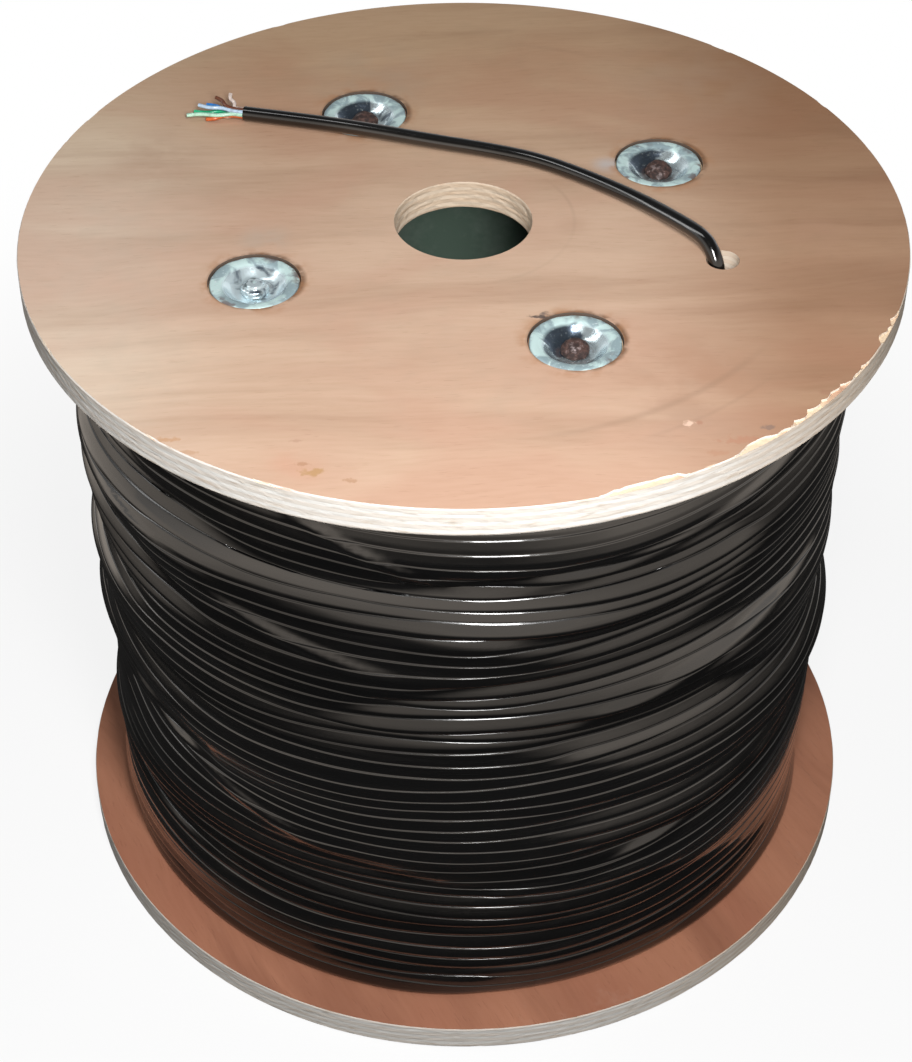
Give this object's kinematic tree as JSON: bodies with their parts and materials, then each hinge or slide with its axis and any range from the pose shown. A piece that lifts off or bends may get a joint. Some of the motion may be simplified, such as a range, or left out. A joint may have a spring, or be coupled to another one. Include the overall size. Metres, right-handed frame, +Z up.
{
  "type": "wooden cable drum",
  "caption": "Plywood drum on its end, wound with black cable; dished washers hold the tie bolts and the cable's start lies bare across the top flange.",
  "frame": {"origin": "centre of the bottom flange's outer face, on the spindle axis", "axes": "+Z up along the spindle axis, from the bottom flange to the top one; -Y is the side that the picture shows in front"},
  "size_m": [0.35, 0.35, 0.3131],
  "materials": {
    "plywood": "bare rotary-cut veneer, pale ply edges, matt",
    "barrel_board": "dark grey-green wound board, matt",
    "rusty_steel": "plain steel gone brown with rust",
    "zinc_plate": "galvanised sheet steel, bluish, streaked",
    "cable_jacket": "smooth black polyethylene, glossy",
    "insulation_white_brown": "thin solid-colour insulation, white with a brown stripe",
    "insulation_brown": "thin solid-colour insulation",
    "insulation_orange": "thin solid-colour insulation",
    "insulation_white_blue": "thin solid-colour insulation, white with a blue stripe",
    "insulation_blue": "thin solid-colour insulation",
    "insulation_white_green": "thin solid-colour insulation, white with a green stripe",
    "insulation_green": "thin solid-colour insulation",
    "insulation_white_orange": "thin solid-colour insulation, white with an orange stripe"
  },
  "bodies": {
    "root": {"flange_top": "plywood", "flange_bottom": "plywood", "barrel": "barrel_board", "tie_bolt_1": "rusty_steel", "tie_bolt_2": "rusty_steel", "tie_bolt_3": "rusty_steel", "tie_bolt_4": "rusty_steel", "bolt_nut_1": "rusty_steel", "bolt_nut_2": "rusty_steel", "bolt_nut_3": "rusty_steel", "bolt_nut_4": "rusty_steel", "washer_top_1": "zinc_plate", "washer_top_2": "zinc_plate", "washer_top_3": "zinc_plate", "washer_top_4": "zinc_plate", "washer_bottom_1": "zinc_plate", "washer_bottom_2": "zinc_plate", "washer_bottom_3": "zinc_plate", "washer_bottom_4": "zinc_plate", "cable_winding": "cable_jacket", "cable_tail": "cable_jacket", "wire_white_brown": "insulation_white_brown", "wire_brown": "insulation_brown", "wire_orange": "insulation_orange", "wire_white_blue": "insulation_white_blue", "wire_blue": "insulation_blue", "wire_white_green": "insulation_white_green", "wire_green": "insulation_green", "wire_white_orange": "insulation_white_orange"}
  },
  "joints": []
}
